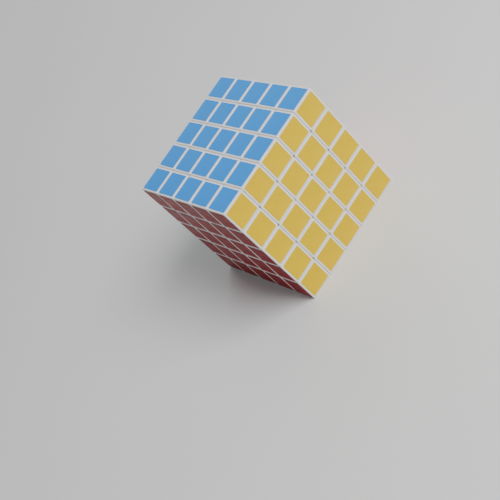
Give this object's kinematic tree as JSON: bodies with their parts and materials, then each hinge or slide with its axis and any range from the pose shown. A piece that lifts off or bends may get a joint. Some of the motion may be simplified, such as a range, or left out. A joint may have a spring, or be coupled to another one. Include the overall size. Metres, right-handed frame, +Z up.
{
  "type": "twisty puzzle cube",
  "caption": "Five-layer twisty puzzle cube in white plastic: cubies with locking feet turn in layers about a split ball core with screws and springs.",
  "frame": {"origin": "middle of the bottom face, on the surface that the cube stands on", "axes": "+Z up through the top face, -Y out of the front face, +X out of the right face"},
  "size_m": [0.066, 0.066, 0.066],
  "materials": {
    "white_plastic": "satin moulded",
    "core_plastic": "plain moulded",
    "steel": "zinc plated"
  },
  "bodies": {
    "core": {"core_cross": "core_plastic", "core_shell_upper": "core_plastic", "core_shell_lower": "core_plastic", "screw_front": "steel", "screw_back": "steel", "screw_left": "steel", "screw_right": "steel", "screw_top": "steel", "screw_bottom": "steel", "spring_front": "steel", "spring_back": "steel", "spring_left": "steel", "spring_right": "steel", "spring_top": "steel", "spring_bottom": "steel"},
    "front_centre": {"centre_strip_middle_front": "white_plastic"},
    "back_centre": {"centre_strip_middle_back": "white_plastic"},
    "right_centre": {"centre_strip_middle_right": "white_plastic"},
    "left_centre": {"centre_strip_middle_left": "white_plastic"},
    "top_centre": {"fixed_centre_top": "white_plastic", "centre_ring_top": "white_plastic"},
    "bottom_centre": {"fixed_centre_bottom": "white_plastic", "centre_ring_bottom": "white_plastic"},
    "edge_middle_front_left": {"edge_middle_front_left": "white_plastic"},
    "edge_middle_front_right": {"edge_middle_front_right": "white_plastic"},
    "edge_middle_back_right": {"edge_middle_back_right": "white_plastic"},
    "edge_middle_back_left": {"edge_middle_back_left": "white_plastic"},
    "corner_top_front_left": {"corner_top_front_left": "white_plastic"},
    "edge_bar_top_front": {"edge_bar_top_front": "white_plastic"},
    "corner_top_front_right": {"corner_top_front_right": "white_plastic"},
    "edge_bar_top_right": {"edge_bar_top_right": "white_plastic"},
    "corner_top_back_right": {"corner_top_back_right": "white_plastic"},
    "edge_bar_top_back": {"edge_bar_top_back": "white_plastic"},
    "corner_top_back_left": {"corner_top_back_left": "white_plastic"},
    "edge_bar_top_left": {"edge_bar_top_left": "white_plastic"},
    "wing_upper_front_left": {"wing_upper_front_left": "white_plastic"},
    "centre_strip_upper_front": {"centre_strip_upper_front": "white_plastic"},
    "wing_upper_front_right": {"wing_upper_front_right": "white_plastic"},
    "centre_strip_upper_right": {"centre_strip_upper_right": "white_plastic"},
    "wing_upper_back_right": {"wing_upper_back_right": "white_plastic"},
    "centre_strip_upper_back": {"centre_strip_upper_back": "white_plastic"},
    "wing_upper_back_left": {"wing_upper_back_left": "white_plastic"},
    "centre_strip_upper_left": {"centre_strip_upper_left": "white_plastic"},
    "wing_lower_front_left": {"wing_lower_front_left": "white_plastic"},
    "centre_strip_lower_front": {"centre_strip_lower_front": "white_plastic"},
    "wing_lower_front_right": {"wing_lower_front_right": "white_plastic"},
    "centre_strip_lower_right": {"centre_strip_lower_right": "white_plastic"},
    "wing_lower_back_right": {"wing_lower_back_right": "white_plastic"},
    "centre_strip_lower_back": {"centre_strip_lower_back": "white_plastic"},
    "wing_lower_back_left": {"wing_lower_back_left": "white_plastic"},
    "centre_strip_lower_left": {"centre_strip_lower_left": "white_plastic"},
    "corner_bottom_front_left": {"corner_bottom_front_left": "white_plastic"},
    "edge_bar_bottom_front": {"edge_bar_bottom_front": "white_plastic"},
    "corner_bottom_front_right": {"corner_bottom_front_right": "white_plastic"},
    "edge_bar_bottom_right": {"edge_bar_bottom_right": "white_plastic"},
    "corner_bottom_back_right": {"corner_bottom_back_right": "white_plastic"},
    "edge_bar_bottom_back": {"edge_bar_bottom_back": "white_plastic"},
    "corner_bottom_back_left": {"corner_bottom_back_left": "white_plastic"},
    "edge_bar_bottom_left": {"edge_bar_bottom_left": "white_plastic"}
  },
  "joints": [
    {"name": "front_face_turn", "type": "hinge", "parent": "core", "child": "front_centre", "pos_m": [0, 0, 0.033], "axis": [0, -1, 0], "range_deg": [-180, 180]},
    {"name": "back_face_turn", "type": "hinge", "parent": "core", "child": "back_centre", "pos_m": [0, 0, 0.033], "axis": [0, 1, 0], "range_deg": [-180, 180]},
    {"name": "right_face_turn", "type": "hinge", "parent": "core", "child": "right_centre", "pos_m": [0, 0, 0.033], "axis": [1, 0, 0], "range_deg": [-180, 180]},
    {"name": "left_face_turn", "type": "hinge", "parent": "core", "child": "left_centre", "pos_m": [0, 0, 0.033], "axis": [-1, 0, 0], "range_deg": [-180, 180]},
    {"name": "top_face_turn", "type": "hinge", "parent": "core", "child": "top_centre", "pos_m": [0, 0, 0.033], "axis": [0, 0, 1], "continuous": true},
    {"name": "bottom_face_turn", "type": "hinge", "parent": "core", "child": "bottom_centre", "pos_m": [0, 0, 0.033], "axis": [0, 0, 1], "continuous": true},
    {"name": "left_face_turn_front_left", "type": "hinge", "parent": "front_centre", "child": "edge_middle_front_left", "pos_m": [0, 0, 0.033], "axis": [-1, 0, 0], "range_deg": [-180, 180]},
    {"name": "right_face_turn_front_right", "type": "hinge", "parent": "front_centre", "child": "edge_middle_front_right", "pos_m": [0, 0, 0.033], "axis": [1, 0, 0], "range_deg": [-180, 180]},
    {"name": "right_face_turn_back_right", "type": "hinge", "parent": "back_centre", "child": "edge_middle_back_right", "pos_m": [0, 0, 0.033], "axis": [1, 0, 0], "range_deg": [-180, 180]},
    {"name": "left_face_turn_back_left", "type": "hinge", "parent": "back_centre", "child": "edge_middle_back_left", "pos_m": [0, 0, 0.033], "axis": [-1, 0, 0], "range_deg": [-180, 180]},
    {"name": "top_layer_turn_front_left", "type": "hinge", "parent": "edge_middle_front_left", "child": "corner_top_front_left", "pos_m": [0, 0, 0.033], "axis": [0, 0, 1], "continuous": true},
    {"name": "top_layer_turn_front", "type": "hinge", "parent": "front_centre", "child": "edge_bar_top_front", "pos_m": [0, 0, 0.033], "axis": [0, 0, 1], "continuous": true},
    {"name": "top_layer_turn_front_right", "type": "hinge", "parent": "edge_middle_front_right", "child": "corner_top_front_right", "pos_m": [0, 0, 0.033], "axis": [0, 0, 1], "continuous": true},
    {"name": "top_layer_turn_right", "type": "hinge", "parent": "right_centre", "child": "edge_bar_top_right", "pos_m": [0, 0, 0.033], "axis": [0, 0, 1], "continuous": true},
    {"name": "top_layer_turn_back_right", "type": "hinge", "parent": "edge_middle_back_right", "child": "corner_top_back_right", "pos_m": [0, 0, 0.033], "axis": [0, 0, 1], "continuous": true},
    {"name": "top_layer_turn_back", "type": "hinge", "parent": "back_centre", "child": "edge_bar_top_back", "pos_m": [0, 0, 0.033], "axis": [0, 0, 1], "continuous": true},
    {"name": "top_layer_turn_back_left", "type": "hinge", "parent": "edge_middle_back_left", "child": "corner_top_back_left", "pos_m": [0, 0, 0.033], "axis": [0, 0, 1], "continuous": true},
    {"name": "top_layer_turn_left", "type": "hinge", "parent": "left_centre", "child": "edge_bar_top_left", "pos_m": [0, 0, 0.033], "axis": [0, 0, 1], "continuous": true},
    {"name": "upper_layer_turn_front_left", "type": "hinge", "parent": "edge_middle_front_left", "child": "wing_upper_front_left", "pos_m": [0, 0, 0.033], "axis": [0, 0, 1], "continuous": true},
    {"name": "upper_layer_turn_front", "type": "hinge", "parent": "front_centre", "child": "centre_strip_upper_front", "pos_m": [0, 0, 0.033], "axis": [0, 0, 1], "continuous": true},
    {"name": "upper_inner_layer_turn", "type": "hinge", "parent": "edge_middle_front_right", "child": "wing_upper_front_right", "pos_m": [0, 0, 0.033], "axis": [0, 0, 1], "continuous": true},
    {"name": "upper_layer_turn_right", "type": "hinge", "parent": "right_centre", "child": "centre_strip_upper_right", "pos_m": [0, 0, 0.033], "axis": [0, 0, 1], "continuous": true},
    {"name": "upper_layer_turn_back_right", "type": "hinge", "parent": "edge_middle_back_right", "child": "wing_upper_back_right", "pos_m": [0, 0, 0.033], "axis": [0, 0, 1], "continuous": true},
    {"name": "upper_layer_turn_back", "type": "hinge", "parent": "back_centre", "child": "centre_strip_upper_back", "pos_m": [0, 0, 0.033], "axis": [0, 0, 1], "continuous": true},
    {"name": "upper_layer_turn_back_left", "type": "hinge", "parent": "edge_middle_back_left", "child": "wing_upper_back_left", "pos_m": [0, 0, 0.033], "axis": [0, 0, 1], "continuous": true},
    {"name": "upper_layer_turn_left", "type": "hinge", "parent": "left_centre", "child": "centre_strip_upper_left", "pos_m": [0, 0, 0.033], "axis": [0, 0, 1], "continuous": true},
    {"name": "lower_layer_turn_front_left", "type": "hinge", "parent": "edge_middle_front_left", "child": "wing_lower_front_left", "pos_m": [0, 0, 0.033], "axis": [0, 0, 1], "continuous": true},
    {"name": "lower_layer_turn_front", "type": "hinge", "parent": "front_centre", "child": "centre_strip_lower_front", "pos_m": [0, 0, 0.033], "axis": [0, 0, 1], "continuous": true},
    {"name": "lower_inner_layer_turn", "type": "hinge", "parent": "edge_middle_front_right", "child": "wing_lower_front_right", "pos_m": [0, 0, 0.033], "axis": [0, 0, 1], "continuous": true},
    {"name": "lower_layer_turn_right", "type": "hinge", "parent": "right_centre", "child": "centre_strip_lower_right", "pos_m": [0, 0, 0.033], "axis": [0, 0, 1], "continuous": true},
    {"name": "lower_layer_turn_back_right", "type": "hinge", "parent": "edge_middle_back_right", "child": "wing_lower_back_right", "pos_m": [0, 0, 0.033], "axis": [0, 0, 1], "continuous": true},
    {"name": "lower_layer_turn_back", "type": "hinge", "parent": "back_centre", "child": "centre_strip_lower_back", "pos_m": [0, 0, 0.033], "axis": [0, 0, 1], "continuous": true},
    {"name": "lower_layer_turn_back_left", "type": "hinge", "parent": "edge_middle_back_left", "child": "wing_lower_back_left", "pos_m": [0, 0, 0.033], "axis": [0, 0, 1], "continuous": true},
    {"name": "lower_layer_turn_left", "type": "hinge", "parent": "left_centre", "child": "centre_strip_lower_left", "pos_m": [0, 0, 0.033], "axis": [0, 0, 1], "continuous": true},
    {"name": "bottom_layer_turn_front_left", "type": "hinge", "parent": "edge_middle_front_left", "child": "corner_bottom_front_left", "pos_m": [0, 0, 0.033], "axis": [0, 0, 1], "continuous": true},
    {"name": "bottom_layer_turn_front", "type": "hinge", "parent": "front_centre", "child": "edge_bar_bottom_front", "pos_m": [0, 0, 0.033], "axis": [0, 0, 1], "continuous": true},
    {"name": "bottom_layer_turn_front_right", "type": "hinge", "parent": "edge_middle_front_right", "child": "corner_bottom_front_right", "pos_m": [0, 0, 0.033], "axis": [0, 0, 1], "continuous": true},
    {"name": "bottom_layer_turn_right", "type": "hinge", "parent": "right_centre", "child": "edge_bar_bottom_right", "pos_m": [0, 0, 0.033], "axis": [0, 0, 1], "continuous": true},
    {"name": "bottom_layer_turn_back_right", "type": "hinge", "parent": "edge_middle_back_right", "child": "corner_bottom_back_right", "pos_m": [0, 0, 0.033], "axis": [0, 0, 1], "continuous": true},
    {"name": "bottom_layer_turn_back", "type": "hinge", "parent": "back_centre", "child": "edge_bar_bottom_back", "pos_m": [0, 0, 0.033], "axis": [0, 0, 1], "continuous": true},
    {"name": "bottom_layer_turn_back_left", "type": "hinge", "parent": "edge_middle_back_left", "child": "corner_bottom_back_left", "pos_m": [0, 0, 0.033], "axis": [0, 0, 1], "continuous": true},
    {"name": "bottom_layer_turn_left", "type": "hinge", "parent": "left_centre", "child": "edge_bar_bottom_left", "pos_m": [0, 0, 0.033], "axis": [0, 0, 1], "continuous": true}
  ],
  "couplings": [
    {"joint": "left_face_turn_front_left", "follows": "left_face_turn", "ratio": 1},
    {"joint": "right_face_turn_front_right", "follows": "right_face_turn", "ratio": 1},
    {"joint": "right_face_turn_back_right", "follows": "right_face_turn", "ratio": 1},
    {"joint": "left_face_turn_back_left", "follows": "left_face_turn", "ratio": 1},
    {"joint": "top_layer_turn_front_left", "follows": "top_face_turn", "ratio": 1},
    {"joint": "top_layer_turn_front", "follows": "top_face_turn", "ratio": 1},
    {"joint": "top_layer_turn_front_right", "follows": "top_face_turn", "ratio": 1},
    {"joint": "top_layer_turn_right", "follows": "top_face_turn", "ratio": 1},
    {"joint": "top_layer_turn_back_right", "follows": "top_face_turn", "ratio": 1},
    {"joint": "top_layer_turn_back", "follows": "top_face_turn", "ratio": 1},
    {"joint": "top_layer_turn_back_left", "follows": "top_face_turn", "ratio": 1},
    {"joint": "top_layer_turn_left", "follows": "top_face_turn", "ratio": 1},
    {"joint": "upper_layer_turn_front_left", "follows": "upper_inner_layer_turn", "ratio": 1},
    {"joint": "upper_layer_turn_front", "follows": "upper_inner_layer_turn", "ratio": 1},
    {"joint": "upper_layer_turn_right", "follows": "upper_inner_layer_turn", "ratio": 1},
    {"joint": "upper_layer_turn_back_right", "follows": "upper_inner_layer_turn", "ratio": 1},
    {"joint": "upper_layer_turn_back", "follows": "upper_inner_layer_turn", "ratio": 1},
    {"joint": "upper_layer_turn_back_left", "follows": "upper_inner_layer_turn", "ratio": 1},
    {"joint": "upper_layer_turn_left", "follows": "upper_inner_layer_turn", "ratio": 1},
    {"joint": "lower_layer_turn_front_left", "follows": "lower_inner_layer_turn", "ratio": 1},
    {"joint": "lower_layer_turn_front", "follows": "lower_inner_layer_turn", "ratio": 1},
    {"joint": "lower_layer_turn_right", "follows": "lower_inner_layer_turn", "ratio": 1},
    {"joint": "lower_layer_turn_back_right", "follows": "lower_inner_layer_turn", "ratio": 1},
    {"joint": "lower_layer_turn_back", "follows": "lower_inner_layer_turn", "ratio": 1},
    {"joint": "lower_layer_turn_back_left", "follows": "lower_inner_layer_turn", "ratio": 1},
    {"joint": "lower_layer_turn_left", "follows": "lower_inner_layer_turn", "ratio": 1},
    {"joint": "bottom_layer_turn_front_left", "follows": "bottom_face_turn", "ratio": 1},
    {"joint": "bottom_layer_turn_front", "follows": "bottom_face_turn", "ratio": 1},
    {"joint": "bottom_layer_turn_front_right", "follows": "bottom_face_turn", "ratio": 1},
    {"joint": "bottom_layer_turn_right", "follows": "bottom_face_turn", "ratio": 1},
    {"joint": "bottom_layer_turn_back_right", "follows": "bottom_face_turn", "ratio": 1},
    {"joint": "bottom_layer_turn_back", "follows": "bottom_face_turn", "ratio": 1},
    {"joint": "bottom_layer_turn_back_left", "follows": "bottom_face_turn", "ratio": 1},
    {"joint": "bottom_layer_turn_left", "follows": "bottom_face_turn", "ratio": 1}
  ]
}
